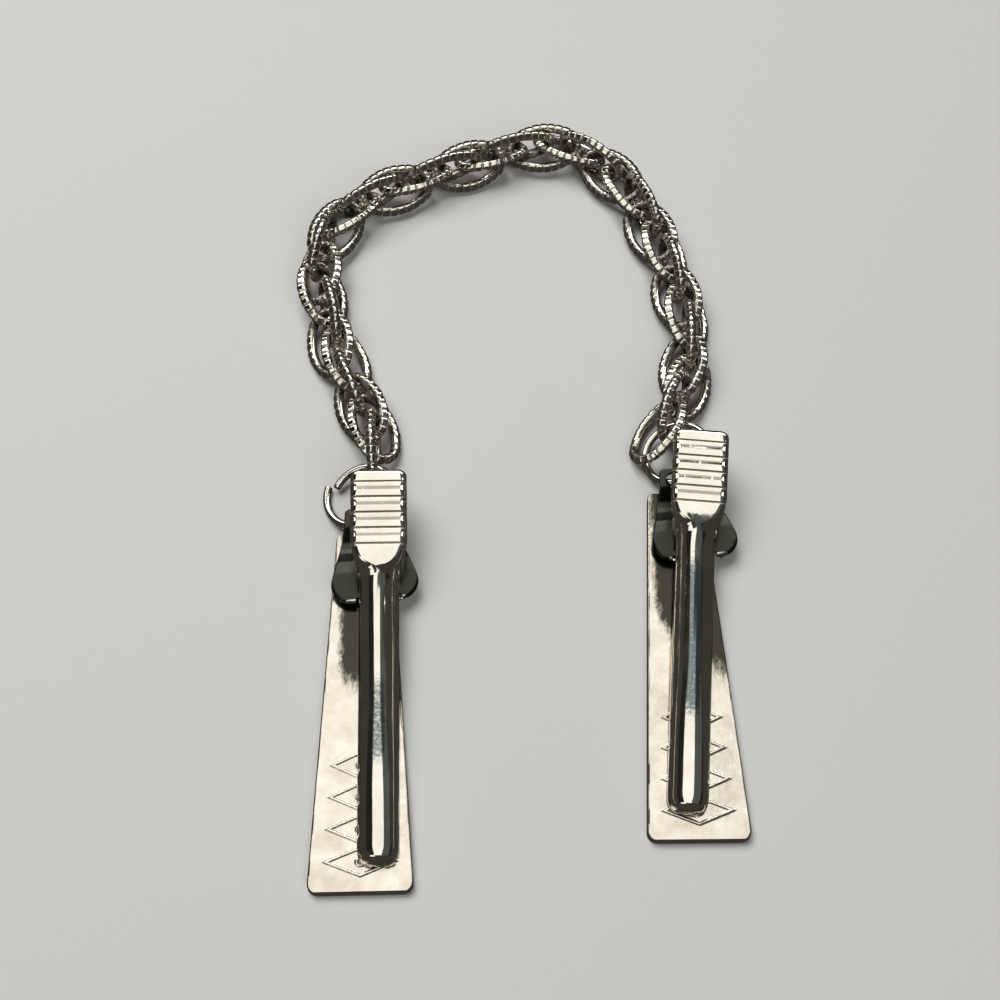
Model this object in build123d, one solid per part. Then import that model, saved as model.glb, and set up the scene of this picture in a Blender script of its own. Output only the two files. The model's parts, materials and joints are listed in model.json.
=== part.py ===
from build123d import *
import math
import os
import random
import numpy as np

# Sweater clip: two spring clips lying flat, joined by a double-link rope chain.
# Everything is in millimetres, +Z up. X runs from the left clip to the right one, and Y from
# the jaws to the chain.

# Back plate: a tapered flat stamping. Its own Y runs from the jaw end to the ring end.
plate_length = 37.4
plate_jaw_width = 10.0
plate_ring_width = 5.6
plate_thickness = 1.0
plate_jaw_corner = 1.05
plate_ring_corner = 0.6
plate_edge_round = 0.15

# Low relief on the plate: a ladder of outlined lozenges with a small ring in each.
relief_rows = 4
relief_first = 2.9
relief_pitch = 3.15
relief_height = 0.12
relief_line = 0.24
relief_side_margin = 1.25
relief_ring_radius = 0.5

# Leaf: the bracket of spring strip that is soldered to the plate and carries the lever.
leaf_thickness = 0.4
leaf_flat_z = plate_thickness + 0.02 + leaf_thickness / 2
leaf_arch_z = 2.0
leaf_lip_z = 1.27
leaf_lip_radius = 0.7
leaf_side_radius = 1.2
leaf_tab_end = 8.15
leaf_tab_z = 2.25
leaf_tab_bend = 6.05
leaf_tab_foot = 4.75
leaf_solder_end = 4.0
leaf_arch_end = 2.1
leaf_lip_start = -2.1
leaf_tab_width = 4.8
leaf_neck_width = 5.3
leaf_tab_corner = 0.45
lobe_radius = 2.15
lobe_offset = 2.25
lobe_back = 0.45
leaf_eye_length = 3.9
leaf_eye_width = 1.9
leaf_eye_along = 6.7
ear_thickness = 0.5
ear_offset = 0.95
ear_radius = 0.75
slot_length = 2.6
slot_width = 0.75
notch_length = 1.2
notch_width = 0.5

# Lever: one stamping, thumb pad at the ring end, then the neck, then a half-tube arm.
lever_wall = 0.45
lever_arm_width = 4.0
pivot_along = 31.6
pivot_z = 3.2
pin_radius = 0.4
pin_length = 4.2
pin_ear_gap = 0.02
pin_lever_gap = 0.05
lug_radius = 1.45
lug_half_width = 1.05
groove_count = 5
groove_pitch = 1.62
groove_first = 2.3
groove_radius = 0.2
groove_depth = 0.1
lever_travel = 9.5

# Lever sections: distance from the pivot along the lever, width, lowest and highest z, and the
# radius of the two upper corners.
lever_sections = [
    {"along": -29.3, "width": 1.8, "low": 1.15, "high": 1.80, "corner": 0.55},
    {"along": -29.0, "width": 2.9, "low": 1.15, "high": 2.50, "corner": 1.10},
    {"along": -28.4, "width": 3.6, "low": 1.16, "high": 2.95, "corner": 1.60},
    {"along": -27.4, "width": 4.0, "low": 1.20, "high": 3.20, "corner": 1.90},
    {"along": -1.2, "width": 4.0, "low": 2.50, "high": 4.55, "corner": 1.90},
    {"along": 0.6, "width": 4.1, "low": 3.00, "high": 5.15, "corner": 1.50},
    {"along": 1.8, "width": 5.0, "low": 3.80, "high": 5.50, "corner": 1.00},
    {"along": 2.8, "width": 5.7, "low": 4.45, "high": 5.70, "corner": 0.80},
    {"along": 9.6, "width": 5.7, "low": 5.65, "high": 6.85, "corner": 0.75},
    {"along": 10.05, "width": 5.4, "low": 5.68, "high": 6.70, "corner": 0.65},
    {"along": 10.25, "width": 4.9, "low": 5.72, "high": 6.30, "corner": 0.45},
]
lever_hollow_start = -28.7
lever_hollow_end = 9.75

# Jump rings, one through the eye of each leaf.
ring_wire = 0.8
ring_lift = 0.06

# Chain: oval wire links, each through the next two.
link_length = 9.0
link_width = 5.8
link_wire = 1.12
link_end_radius = 1.8
link_pitch = 3.12
link_turn = 60.0
link_gap = 0.13
chain_height = 2.5
chain_seed = 5
chain_roll = 90.0
roll_play = 9.0
lean_play = 7.0
side_play = 0.5
settle_steps = 320
settle_quiet = 140
settle_sink = 0.012
chain_route = [
    (-13.4, 3.3), (-14.5, 7.8), (-17.0, 13.0), (-19.4, 20.8), (-21.6, 28.2), (-18.9, 35.6),
    (-13.4, 39.3), (-7.3, 42.0), (-1.8, 45.0), (3.7, 46.5), (9.0, 44.8), (13.4, 40.2),
    (16.8, 33.3), (19.2, 26.4), (20.1, 19.4), (19.2, 13.4), (17.0, 7.8),
]

# Where each clip lies: the middle of its jaw end, and the turn of its axis. The lever and the leaf
# of each sit a little askew, and each jump ring leans as it lies. A ring's wire starts at its
# first angle and runs clockwise round the inner radius to the second, and then round the outer
# radius, where it has been pulled open, to the third.
clips = {
    "left": {
        "x": -11.31, "y": -42.52, "turn": 3.82, "pivot_across": 1.65,
        "lever_turn": 0.0, "leaf_turn": 5.0, "leaf_across": -0.5,
        "ring_across": -0.15, "ring_along": 41.3, "ring_lean_x": 0.4, "ring_lean_y": -0.02,
        "ring_radius": 3.4, "ring_open_radius": 4.0, "ring_angles": (152, -80, -199),
    },
    "right": {
        "x": 20.28, "y": -36.12, "turn": 3.18, "pivot_across": 1.6,
        "lever_turn": -5.3, "leaf_turn": 6.0, "leaf_across": 0.0,
        "ring_across": 0.4, "ring_along": 41.5, "ring_lean_x": 0.4, "ring_lean_y": 0.0,
        "ring_radius": 3.45, "ring_open_radius": 3.45, "ring_angles": (-15, -180, -363),
    },
}


def lever_profile(row, inset=0.0, extra_depth=0.0):
    """Section across the lever: flat foot, upright sides and two rounded upper corners."""
    half = row["width"] / 2 - inset
    high = row["high"] - inset
    low = row["low"] - extra_depth
    corner = max(row["corner"] - inset, 0.12)
    face = Polygon((-half, low), (half, low), (half, high), (-half, high), align=None)
    tops = face.vertices().group_by(Axis.Y)[-1]
    face = fillet(tops, corner)
    return Plane(origin=(0, row["along"], 0), x_dir=(1, 0, 0), z_dir=(0, -1, 0)) * face


def section_at(along):
    """Lever section between two rows of the table, by straight interpolation."""
    keys = ["along", "width", "low", "high", "corner"]
    places = [row["along"] for row in lever_sections]
    return {key: float(np.interp(along, places, [row[key] for row in lever_sections]))
            for key in keys}


def make_lever():
    """Lever in its own frame: pivot axis over the origin, pad towards +Y."""
    outer = loft([lever_profile(row) for row in lever_sections], ruled=True)
    inner_rows = [section_at(lever_hollow_start)]
    inner_rows += [row for row in lever_sections
                   if lever_hollow_start < row["along"] < lever_hollow_end]
    inner_rows += [section_at(lever_hollow_end)]
    inner = loft([lever_profile(row, lever_wall, 1.0) for row in inner_rows], ruled=True)
    lever = outer - inner
    lug_shape = Circle(lug_radius) & Rectangle(2 * lug_half_width, 2 * lug_radius)
    for side in (-1, 1):
        across = side * (lever_arm_width / 2 - lever_wall / 2)
        plane = Plane(origin=(across - lever_wall / 2, 0, pivot_z), x_dir=(0, 1, 0), z_dir=(1, 0, 0))
        lug = extrude(plane * lug_shape, lever_wall)
        roof = Pos(across, 0, pivot_z + 1.0) * Box(1.0, 4.0, 1.2)
        lever += lug - roof
    bore = Rot(0, 90, 0) * Cylinder(pin_radius + pin_lever_gap, 6.0)
    lever -= Pos(0, 0, pivot_z) * bore
    for k in range(groove_count):
        along = groove_first + k * groove_pitch
        top = section_at(along)["high"] + groove_radius - groove_depth
        lever -= Pos(0, along, top) * (Rot(0, 90, 0) * Cylinder(groove_radius, 7.0))
    return lever


def leaf_outline():
    """Teardrop seen from above: a narrow tab that widens to two round lobes."""
    half_tab, half_neck = leaf_tab_width / 2, leaf_neck_width / 2
    bend = leaf_tab_bend + lobe_back
    reach = math.hypot(half_neck - lobe_offset, bend)
    lean = math.atan2(bend, half_neck - lobe_offset)
    touch = lean - math.acos(lobe_radius / reach)
    side = (lobe_offset + lobe_radius * math.cos(touch), lobe_radius * math.sin(touch) - lobe_back)
    foot = -lobe_radius - lobe_back
    body = Polygon((-half_tab, leaf_tab_end), (-half_neck, leaf_tab_bend), (-side[0], side[1]),
                   (-lobe_offset, foot), (lobe_offset, foot), side,
                   (half_neck, leaf_tab_bend), (half_tab, leaf_tab_end), align=None)
    body = fillet(body.vertices().group_by(Axis.Y)[-1], leaf_tab_corner)
    for across in (-lobe_offset, lobe_offset):
        body += Pos(across, -lobe_back) * Circle(lobe_radius)
    return body


def make_leaf(clip):
    """Leaf over the pivot: strip bent along its length, cut to its outline, with its openings."""
    points = [
        (leaf_tab_end + 0.3, leaf_tab_z), (leaf_tab_bend, leaf_tab_z), (leaf_tab_foot, leaf_flat_z),
        (leaf_solder_end, leaf_flat_z), (leaf_arch_end, leaf_arch_z),
        (leaf_lip_start, leaf_arch_z), (leaf_lip_start, leaf_lip_z - leaf_thickness / 2),
    ]
    bends = [0.5, 0.5, 0.6, leaf_side_radius, leaf_lip_radius]
    path = FilletPolyline(*points, radius=bends)
    strip = Plane(origin=(-8, 0, 0), x_dir=(0, 1, 0), z_dir=(1, 0, 0)) * trace(path, leaf_thickness)
    strip = extrude(strip, 16)
    leaf = strip & extrude(leaf_outline(), 5)
    eye = SlotOverall(leaf_eye_length, leaf_eye_width)
    leaf -= Pos(0, leaf_eye_along, 0) * extrude(eye, 5)
    leaf = leaf_frame(clip) * leaf
    lever_turn = Rot(0, 0, clip["lever_turn"])
    for side in (-1, 1):
        beside = side * (lever_arm_width / 2 - lever_wall / 2)
        leaf -= lever_turn * Pos(beside, -0.1, leaf_arch_z) * Box(slot_width, slot_length, 2)
        notch = Box(notch_width, notch_length, 4)
        leaf -= lever_turn * Pos(side * (lever_arm_width / 2 + 0.1), -2.5, leaf_arch_z) * notch
    shape = Circle(ear_radius) + Pos(0, -0.7) * Rectangle(2 * ear_radius, 1.4)
    for side in (-1, 1):
        across = side * ear_offset - ear_thickness / 2
        plane = Plane(origin=(across, 0, pivot_z), x_dir=(0, 1, 0), z_dir=(1, 0, 0))
        leaf += lever_turn * extrude(plane * shape, ear_thickness)
    bore = Rot(0, 90, 0) * Cylinder(pin_radius + pin_ear_gap, 6.0)
    return leaf - lever_turn * Pos(0, 0, pivot_z) * bore


def leaf_frame(clip):
    """Place of the leaf over the pivot: shifted and turned as it was soldered."""
    return Pos(clip["leaf_across"], 0, 0) * Rot(0, 0, clip["leaf_turn"])


def make_plate():
    """Plate in its own frame: jaw end at the origin, ring end towards +Y."""
    half_jaw, half_ring = plate_jaw_width / 2, plate_ring_width / 2
    face = Polygon((-half_jaw, 0), (half_jaw, 0), (half_ring, plate_length),
                   (-half_ring, plate_length), align=None)
    face = fillet(face.vertices().group_by(Axis.Y)[0], plate_jaw_corner)
    face = fillet(face.vertices().group_by(Axis.Y)[-1], plate_ring_corner)
    plate = extrude(face, plate_thickness)
    plate = fillet(plate.edges().group_by(Axis.Z)[-1], plate_edge_round)
    for k in range(relief_rows):
        along = relief_first + k * relief_pitch
        taper = (plate_jaw_width - plate_ring_width) * along / plate_length / 2
        half_wide = half_jaw - taper - relief_side_margin
        half_long = relief_pitch / 2 - 0.12
        lozenge = Polygon((-half_wide, 0), (0, -half_long), (half_wide, 0), (0, half_long))
        line = lozenge - offset(lozenge, -relief_line)
        bead = Circle(relief_ring_radius) - Circle(relief_ring_radius - relief_line)
        for shape in (line, bead):
            plate += Pos(0, along, plate_thickness - 0.05) * extrude(shape, relief_height + 0.05)
    return plate


def ring_frame(clip):
    """Plane of a jump ring in the clip's frame: through the leaf's eye, leaning as it lies."""
    eye = Pos(clip["pivot_across"], pivot_along) * leaf_frame(clip) * Pos(0, leaf_eye_along)
    across, along = clip["ring_across"], clip["ring_along"]
    height = leaf_tab_z + ring_lift + clip["ring_lean_x"] * (across - eye.position.X)
    height += clip["ring_lean_y"] * (along - eye.position.Y)
    x_dir = Vector(1, 0, clip["ring_lean_x"])
    normal = x_dir.cross(Vector(0, 1, clip["ring_lean_y"]))
    return Plane(origin=(across, along, height), x_dir=x_dir, z_dir=normal)


def ring_arcs(clip):
    """Two arcs of a jump ring's centre line: centre, radius, first and last angle in degrees."""
    start, join, end = clip["ring_angles"]
    radius, opened = clip["ring_radius"], clip["ring_open_radius"]
    shift = radius - opened
    centre = (shift * math.cos(math.radians(join)), shift * math.sin(math.radians(join)))
    return [((0.0, 0.0), radius, start, join), (centre, opened, join, end)]


def arc_point(centre, radius, angle):
    """Point of a circle at an angle in degrees."""
    angle = math.radians(angle)
    return centre[0] + radius * math.cos(angle), centre[1] + radius * math.sin(angle)


def make_ring(clip):
    """Round wire bent to a ring whose ends are left a little apart."""
    arcs = []
    for centre, radius, start, end in ring_arcs(clip):
        stops = [arc_point(centre, radius, start + (end - start) * part) for part in (0, 0.5, 1)]
        arcs.append(ThreePointArc(*stops))
    path = Wire(arcs)
    start = Plane(origin=path @ 0, z_dir=path % 0)
    return ring_frame(clip) * sweep(start * Circle(ring_wire / 2), path=path)


def clip_frame(clip):
    """Plane of one clip: its jaw end and the turn of its axis."""
    return Pos(clip["x"], clip["y"], 0) * Rot(0, 0, clip["turn"])


def oval_arcs():
    """Centre line of a link: flat sides and tighter ends, as centre distances and radii."""
    half_long = (link_length - link_wire) / 2
    half_wide = (link_width - link_wire) / 2
    end_centre = half_long - link_end_radius
    side_radius = (end_centre ** 2 + half_wide ** 2 - link_end_radius ** 2)
    side_radius = side_radius / (2 * (half_wide - link_end_radius))
    side_centre = side_radius - half_wide
    return half_long, half_wide, end_centre, side_radius, side_centre


def make_link():
    """One link about the origin: long axis X, short axis Y, round wire."""
    half_long, half_wide, end_centre, side_radius, side_centre = oval_arcs()
    spread = math.atan2(side_centre, end_centre)
    meet = (end_centre + link_end_radius * math.cos(spread), link_end_radius * math.sin(spread))
    right = ThreePointArc((meet[0], -meet[1]), (half_long, 0), meet)
    top = ThreePointArc(meet, (0, half_wide), (-meet[0], meet[1]))
    left = ThreePointArc((-meet[0], meet[1]), (-half_long, 0), (-meet[0], -meet[1]))
    bottom = ThreePointArc((-meet[0], -meet[1]), (0, -half_wide), (meet[0], -meet[1]))
    path = Wire([right, top, left, bottom])
    start = Plane(origin=path @ 0, z_dir=path % 0)
    return sweep(start * Circle(link_wire / 2), path=path)


def oval_samples(count=36):
    """Points round a link's centre line, for the settling of the chain."""
    half_long, half_wide, end_centre, side_radius, side_centre = oval_arcs()
    angles = np.linspace(0, 2 * math.pi, count, endpoint=False)
    long_part, wide_part = np.cos(angles), np.sin(angles)
    power = 2.25
    size = (abs(long_part / half_long) ** power + abs(wide_part / half_wide) ** power)
    size = size ** (-1 / power)
    return np.stack([long_part * size, wide_part * size, 0 * size], axis=1)


def ring_samples(clip, count=20):
    """Points along a jump ring's centre line, where the clip lies."""
    frame = clip_frame(clip) * ring_frame(clip).location
    points = []
    for centre, radius, start, end in ring_arcs(clip):
        for angle in np.linspace(start, end, count):
            spot = frame * Pos(*arc_point(centre, radius, angle))
            points.append(tuple(spot.position))
    return np.array(points)


def pad_samples(clip):
    """Points just over the pad's lower rim where it is pressed down, for the chain to lie clear."""
    frame = clip_frame(clip) * Pos(clip["pivot_across"], pivot_along) * Rot(0, 0, clip["lever_turn"])
    last = lever_sections[-1]
    half = lever_sections[-3]["width"] / 2
    press = math.radians(lever_travel)
    spots = [(across, last["along"]) for across in np.linspace(-half, half, 9)]
    spots += [(side * half, along) for side in (-1, 1) for along in np.linspace(6.5, 9.5, 5)]
    points = []
    for across, along in spots:
        rise = section_at(along)["low"] - pivot_z
        down = pivot_z + rise * math.cos(press) - along * math.sin(press)
        back = along * math.cos(press) + rise * math.sin(press)
        points.append(tuple((frame * Pos(across, back, down + ring_wire / 2)).position))
    return np.array(points)


def route_links():
    """Links along the route: chord of the curve, each turned on from the one before."""
    knots = [(x, y, chain_height) for x, y in chain_route]
    curve = Spline(*knots)
    length = curve.length
    count = round(length / link_pitch) + 1
    pitch = length / (count - 1)
    pick = random.Random(chain_seed)
    centres, turns = [], []
    for k in range(count):
        place = k * pitch
        ends = []
        for step in (-4.0, 0.0, 4.0):
            inside = min(max(place + step, 0), length)
            point = curve.position_at(inside, position_mode=PositionMode.LENGTH)
            beyond = place + step - inside
            point += curve.tangent_at(inside, position_mode=PositionMode.LENGTH) * beyond
            ends.append(np.array(tuple(point)))
        along = ends[2] - ends[0]
        along = along / np.linalg.norm(along)
        across = np.cross(along, (0, 0, 1.0))
        across = across / np.linalg.norm(across)
        upward = np.cross(across, along)
        roll = math.radians(chain_roll + link_turn * k + pick.uniform(-roll_play, roll_play))
        lean = math.radians(pick.uniform(-lean_play, lean_play))
        shift = pick.uniform(-side_play, side_play)
        short = across * math.cos(roll) + upward * math.sin(roll)
        normal = np.cross(along, short)
        long_axis = along * math.cos(lean) + normal * math.sin(lean)
        centres.append(0.3 * ends[1] + 0.35 * (ends[0] + ends[2]) + across * shift)
        turns.append(np.stack([long_axis, short, np.cross(long_axis, short)], axis=1))
    return np.array(centres), np.array(turns)


def small_turns(vectors):
    """Rotation matrices of small turns, each given as an axis times an angle."""
    angle = np.linalg.norm(vectors, axis=1)[:, None, None] + 1e-12
    x, y, z = (vectors / angle[:, :, 0]).T
    zero = np.zeros_like(x)
    skew = np.array([[zero, -z, y], [z, zero, -x], [-y, x, zero]]).transpose(2, 0, 1)
    return np.eye(3) + np.sin(angle) * skew + (1 - np.cos(angle)) * skew @ skew


def settle_chain(centres, turns, rings):
    """Lets the links sink to the surface and push each other clear, as a slack chain lies."""
    oval = oval_samples()
    count = len(centres)
    keep_apart = link_wire + link_gap
    keep_ring = (link_wire + ring_wire) / 2 + link_gap
    for step in range(settle_steps):
        points = centres[:, None] + np.einsum("mk,njk->nmj", oval, turns)
        push = np.zeros((count, len(oval), 3))
        touching = np.zeros(count)
        for apart in (1, 2, 3):
            between = points[:-apart, :, None] - points[apart:, None]
            distance = np.linalg.norm(between, axis=-1)
            depth = np.clip(keep_apart - distance, 0, None)
            force = between * (depth / (distance + 1e-9))[..., None]
            push[:-apart] += force.sum(2)
            push[apart:] -= force.sum(1)
            touching[:-apart] += (depth > 0).sum((1, 2))
            touching[apart:] += (depth > 0).sum((1, 2))
        for end, ring in ((slice(0, 3), rings[0]), (slice(count - 3, count), rings[1])):
            between = points[end, :, None] - ring[None, None]
            distance = np.linalg.norm(between, axis=-1)
            depth = np.clip(keep_ring - distance, 0, None)
            push[end] += (between * (depth / (distance + 1e-9))[..., None]).sum(2)
            touching[end] += (depth > 0).sum((1, 2))
        sunk = np.clip(link_wire / 2 + 0.01 - points[..., 2], 0, None)
        push[..., 2] += sunk
        touching += (sunk > 0).sum(1)
        share = 0.6 / np.maximum(touching, 1)[:, None]
        moves = push.sum(1) * share
        if step < settle_steps - settle_quiet:
            moves[:, 2] -= settle_sink
        twist = np.cross(points - centres[:, None], push).sum(1) * share / 9.0
        centres = centres + moves
        turns = small_turns(twist) @ turns
    return centres, turns


def build():
    """All pieces, by node name, before the shift to the row's origin."""
    pieces = {}
    rings = []
    for side, clip in clips.items():
        place = clip_frame(clip)
        over_pivot = place * Pos(clip["pivot_across"], pivot_along, 0)
        lever_turn = Rot(0, 0, clip["lever_turn"])
        pin = Rot(0, 90, 0) * Cylinder(pin_radius, pin_length)
        pieces[side + "_back_plate"] = place * make_plate()
        pieces[side + "_leaf_bracket"] = over_pivot * make_leaf(clip)
        pieces[side + "_hinge_pin"] = over_pivot * lever_turn * Pos(0, 0, pivot_z) * pin
        pieces[side + "_lever"] = over_pivot * lever_turn * make_lever()
        pieces[side + "_jump_ring"] = place * make_ring(clip)
        rings.append(np.concatenate([ring_samples(clip), pad_samples(clip)]))
    centres, turns = settle_chain(*route_links(), rings)
    link = make_link()
    for k, (centre, turn) in enumerate(zip(centres, turns)):
        plane = Plane(origin=tuple(centre), x_dir=tuple(turn[:, 0]), z_dir=tuple(turn[:, 2]))
        pieces["chain_link_%02d" % (k + 1)] = plane.location * link
    return pieces


def pivot_points():
    """Pivot of each lever and its axis, before the shift to the row's origin."""
    found = {}
    for side, clip in clips.items():
        place = clip_frame(clip) * Pos(clip["pivot_across"], pivot_along, pivot_z)
        axis = Plane(place * Rot(0, 0, clip["lever_turn"])).x_dir
        found[side] = (tuple(place.position), tuple(axis))
    return found


def footprint_shift(pieces):
    """Move that brings the middle of the footprint, on the surface below, to the origin."""
    boxes = [piece.bounding_box() for piece in pieces.values()]
    low = [min(tuple(box.min)[k] for box in boxes) for k in range(3)]
    high = [max(tuple(box.max)[k] for box in boxes) for k in range(3)]
    return -(low[0] + high[0]) / 2, -(low[1] + high[1]) / 2, -low[2]


def main():
    os.makedirs("parts", exist_ok=True)
    pieces = build()
    shift = footprint_shift(pieces)
    for name, piece in pieces.items():
        export_step(Pos(*shift) * piece, "parts/%s.step" % name)
    print("moved by", [round(part, 4) for part in shift])
    for side, (point, axis) in pivot_points().items():
        print(side, "pivot", [round(p + s, 4) for p, s in zip(point, shift)],
              "axis", [round(a, 5) for a in axis])
    for side, clip in clips.items():
        for label, along in (("jaw end", 0.0), ("ring end", plate_length)):
            spot = Pos(*shift) * clip_frame(clip) * Pos(0, along, 0)
            print(side, "plate", label, [round(part, 4) for part in spot.position])
    print("links:", sum(name.startswith("chain") for name in pieces))


if __name__ == "__main__":
    main()
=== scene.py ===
import json
import math

import bmesh
import bpy
import numpy as np
from mathutils import Matrix, Vector


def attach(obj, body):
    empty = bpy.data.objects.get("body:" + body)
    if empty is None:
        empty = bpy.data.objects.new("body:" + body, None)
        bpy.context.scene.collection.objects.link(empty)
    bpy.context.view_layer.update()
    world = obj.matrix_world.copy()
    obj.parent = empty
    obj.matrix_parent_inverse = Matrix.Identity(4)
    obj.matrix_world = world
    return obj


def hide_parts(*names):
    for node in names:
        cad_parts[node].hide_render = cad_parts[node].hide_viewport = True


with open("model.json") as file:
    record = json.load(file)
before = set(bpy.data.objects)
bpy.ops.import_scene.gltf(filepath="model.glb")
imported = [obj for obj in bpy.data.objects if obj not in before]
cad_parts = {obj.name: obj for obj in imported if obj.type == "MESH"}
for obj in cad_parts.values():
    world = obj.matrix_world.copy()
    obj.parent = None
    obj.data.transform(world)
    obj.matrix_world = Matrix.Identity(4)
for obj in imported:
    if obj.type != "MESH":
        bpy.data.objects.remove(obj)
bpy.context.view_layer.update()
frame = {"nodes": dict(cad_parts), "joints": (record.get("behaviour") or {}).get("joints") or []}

mm = 0.001
joints = {joint["name"]: joint for joint in frame["joints"]}

# Each clip's turn on the table, and how its lever, leaf and ring sit on it: mm and degrees.
clipSettings = {
    "left": {
        "turn": 3.82, "pivotAcross": 1.65, "leverTurn": 0.0,
        "leafTurn": 5.0, "leafAcross": -0.5,
        "ringAcross": -0.15, "ringAlong": 41.3, "ringLeanX": 0.4, "ringLeanY": -0.02,
        "ringRadius": 3.4, "ringOpenRadius": 4.0, "ringAngles": (152, -80, -199),
        "leverSkew": (-0.06, 0.05, 0.20), "scuff": (-20.2, -10.3), "scuffDull": 0.65,
    },
    "right": {
        "turn": 3.18, "pivotAcross": 1.6, "leverTurn": -5.3,
        "leafTurn": 6.0, "leafAcross": 0.0,
        "ringAcross": 0.4, "ringAlong": 41.5, "ringLeanX": 0.4, "ringLeanY": 0.0,
        "ringRadius": 3.45, "ringOpenRadius": 3.45, "ringAngles": (-15, -180, -363),
        "leverSkew": (-0.02, 0.03, 0.20), "scuff": (-20.2, -2.5), "scuffDull": 0.78,
    },
}
pivotAlong = 31.6        # from the jaw end of the plate to the hinge pin
pivotHeight = 3.2


# Placing and mesh helpers

def turned(points, degrees):
    # turns points about Z
    angle = math.radians(degrees)
    spin = np.array([[math.cos(angle), math.sin(angle), 0],
                     [-math.sin(angle), math.cos(angle), 0], [0, 0, 1]])
    return points @ spin


def toClip(points, side):
    # from the clip's own frame, jaw end at 0 and Y to the ring end, to the table in mm
    clip = clipSettings[side]
    pivot = np.array(joints[side + "_lever_hinge"]["pos_m"]) / mm
    toPivot = turned(np.array([[clip["pivotAcross"], pivotAlong, pivotHeight]]), clip["turn"])[0]
    return turned(points, clip["turn"]) + (pivot - toPivot)


def fromPivot(points, side):
    # from a frame over the hinge pin, Z from the table, to the table in mm
    return toClip(points + np.array([clipSettings[side]["pivotAcross"], pivotAlong, 0.0]), side)


def smoothStep(low, high, values):
    # 0 below low, 1 above high, with a smooth run between
    part = np.clip((values - low) / (high - low), 0, 1)
    return part * part * (3 - 2 * part)


def blend(start, end, share):
    return start + (end - start) * share


def roundOff(distance, radius):
    # how far a quarter circle falls off at a distance from the edge
    inside = np.clip(radius - distance, 0, radius)
    return radius - np.sqrt(np.maximum(radius ** 2 - inside ** 2, 0))


def gridQuads(rows, columns, offset=0, wrapRows=False, wrapColumns=False):
    # quads of a grid of points stored row by row
    i = np.arange(rows if wrapRows else rows - 1)[:, None]
    j = np.arange(columns if wrapColumns else columns - 1)[None, :]
    nextI, nextJ = (i + 1) % rows, (j + 1) % columns
    corners = [i * columns + j, i * columns + nextJ, nextI * columns + nextJ, nextI * columns + j]
    return np.stack([c + 0 * i + 0 * j for c in corners], axis=-1).reshape(-1, 4) + offset


def linked(name, data):
    # new object in the scene
    obj = bpy.data.objects.new(name, data)
    bpy.context.scene.collection.objects.link(obj)
    return obj


def buildMesh(name, points, quads, attributes):
    # object from points in mm and quads, by whole arrays
    mesh = bpy.data.meshes.new(name)
    mesh.vertices.add(len(points))
    mesh.vertices.foreach_set("co", (points * mm).astype(np.float32).ravel())
    mesh.loops.add(quads.size)
    mesh.loops.foreach_set("vertex_index", quads.astype(np.int32).ravel())
    mesh.polygons.add(len(quads))
    mesh.polygons.foreach_set("loop_start", np.arange(0, quads.size, 4, dtype=np.int32))
    mesh.polygons.foreach_set("use_smooth", np.ones(len(quads), bool))
    for key, values in attributes.items():
        layer = mesh.attributes.new(key, "FLOAT", "POINT")
        layer.data.foreach_set("value", np.asarray(values, np.float32).ravel())
    mesh.update(calc_edges=True)
    mesh.validate()
    return linked(name, mesh)


def finishPiece(obj, body, node, material, sharpDegrees=35):
    # turns faces outward, marks hard edges, gives the piece its body, slot and finish, and hides the CAD
    # node
    mesh = obj.data
    bm = bmesh.new()
    bm.from_mesh(mesh)
    bmesh.ops.recalc_face_normals(bm, faces=bm.faces)
    bm.to_mesh(mesh)
    bm.free()
    if sharpDegrees:
        mesh.set_sharp_from_angle(angle=math.radians(sharpDegrees))
    mesh.materials.append(material)
    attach(obj, body)
    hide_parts(node)


# Finishes

def newMaterial(name):
    # material and its shader
    material = bpy.data.materials.new(name)
    material.use_nodes = True
    return material, material.node_tree.nodes["Principled BSDF"]


def shaderNode(tree, kind, place, **values):
    # one shader node with its values set
    made = tree.nodes.new(kind)
    made.location = (place[0] * 200, -place[1] * 200)
    for key, value in values.items():
        setattr(made, key, value)
    return made


def noiseOf(tree, place, scale, detail, stretch=(1, 1, 1), roughness=0.5):
    # noise in object space; scale is per millimetre and stretch makes it long along an axis
    coords = shaderNode(tree, "ShaderNodeTexCoord", (place[0] - 2, place[1]))
    mapping = shaderNode(tree, "ShaderNodeMapping", (place[0] - 1, place[1]))
    mapping.inputs["Scale"].default_value = tuple(scale * 1000 / s for s in stretch)
    noise = shaderNode(tree, "ShaderNodeTexNoise", place)
    noise.inputs["Scale"].default_value = 1.0
    noise.inputs["Detail"].default_value = detail
    noise.inputs["Roughness"].default_value = roughness
    tree.links.new(coords.outputs["Object"], mapping.inputs["Vector"])
    tree.links.new(mapping.outputs["Vector"], noise.inputs["Vector"])
    return noise.outputs["Fac"]


def rampOf(tree, place, source, positions, colours):
    # colour ramp with two stops
    made = shaderNode(tree, "ShaderNodeValToRGB", place)
    for element, position, colour in zip(made.color_ramp.elements, positions, colours):
        element.position = position
        element.color = (*colour, 1)
    tree.links.new(source, made.inputs["Fac"])
    return made.outputs["Color"]


def mathOf(tree, place, operation, *sources, clamp=False):
    # sum or product of sockets and plain numbers
    made = shaderNode(tree, "ShaderNodeMath", place, operation=operation, use_clamp=clamp)
    for socket, source in zip(made.inputs, sources):
        if isinstance(source, (int, float)):
            socket.default_value = source
        else:
            tree.links.new(source, socket)
    return made.outputs["Value"]


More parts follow.
